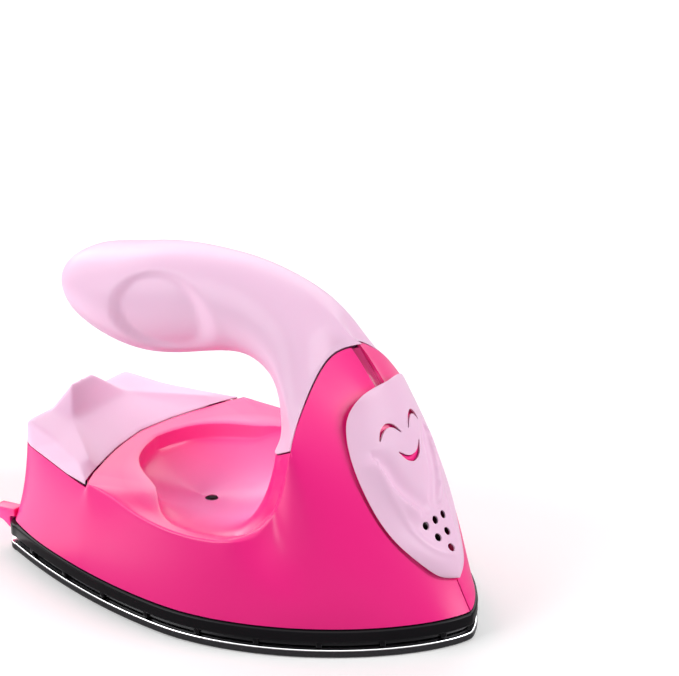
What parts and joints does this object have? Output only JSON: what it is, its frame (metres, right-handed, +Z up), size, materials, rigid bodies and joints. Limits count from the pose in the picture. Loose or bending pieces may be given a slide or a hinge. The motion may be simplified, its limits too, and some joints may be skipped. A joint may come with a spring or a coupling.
{
  "type": "mini craft iron",
  "caption": "Small hobby iron with a two-part shell, curved bar handle, faceted rear deck, oval nose plate with a plain smile, dark skirt and flat pointed soleplate.",
  "frame": {"origin": "on the floor under the middle of the whole iron's box, with the soleplate's face on the floor", "axes": "+X from the heel to the nose, +Y to the iron's left, +Z up"},
  "size_m": [0.1152, 0.0716, 0.0737],
  "materials": {
    "hot_pink": "glossy moulded",
    "pale_pink": "satin moulded",
    "skirt_black": "glossy moulded",
    "sole_black": "black non-stick coated",
    "inner_plastic": "moulded",
    "steel": "plain",
    "aluminium": "rolled",
    "brass": "plain",
    "mica": "pressed mica",
    "ceramic": "glazed ceramic",
    "rubber": "matt",
    "clear_red": "clear tinted",
    "wire_red": "sleeved",
    "wire_blue": "sleeved"
  },
  "bodies": {
    "iron": {"body_left": "hot_pink", "body_right": "hot_pink", "handle_left": "pale_pink", "handle_right": "pale_pink", "rear_deck": "pale_pink", "nose_plate": "pale_pink", "skirt": "skirt_black", "soleplate": "sole_black", "cord_gland": "rubber", "terminal_block": "inner_plastic", "block_screw_0": "brass", "block_screw_1": "brass", "body_screw_0": "steel", "body_screw_1": "steel", "body_screw_2": "steel", "body_screw_3": "steel", "handle_screw_0": "steel", "handle_screw_1": "steel", "handle_screw_2": "steel", "sole_screw_0": "steel", "sole_screw_1": "steel", "sole_screw_2": "steel", "sole_screw_3": "steel", "heating_element": "steel", "element_pin_left": "brass", "element_pin_right": "brass", "element_clamp": "steel", "mica_sheet": "mica", "heat_shield": "aluminium", "thermostat_cup": "aluminium", "snap_disc": "steel", "contact_carrier": "ceramic", "blade_post": "brass", "fixed_contact": "brass", "thermal_fuse": "ceramic", "fuse_clip": "steel", "lamp_holder": "ceramic", "indicator_lamp": "clear_red", "lamp_lens": "clear_red", "live_wire": "wire_red", "neutral_wire": "wire_blue", "fuse_wire": "wire_red", "link_wire": "wire_red"},
    "pin": {"push_pin": "ceramic"},
    "blade": {"contact_blade": "brass"}
  },
  "joints": [
    {"name": "pin_slide", "type": "slide", "parent": "iron", "child": "pin", "axis": [0, 0, 1], "range_m": [0, 0.0004], "stiffness_N_per_m": 200},
    {"name": "blade_hinge", "type": "hinge", "parent": "iron", "child": "blade", "pos_m": [0.0051, 0, 0.0113], "axis": [0, -1, 0], "range_deg": [0, 5.2], "stiffness_Nm_per_rad": 0.005}
  ],
  "couplings": [
    {"joint": "blade_hinge", "follows": "pin_slide", "rad_per_m": 222.22}
  ]
}
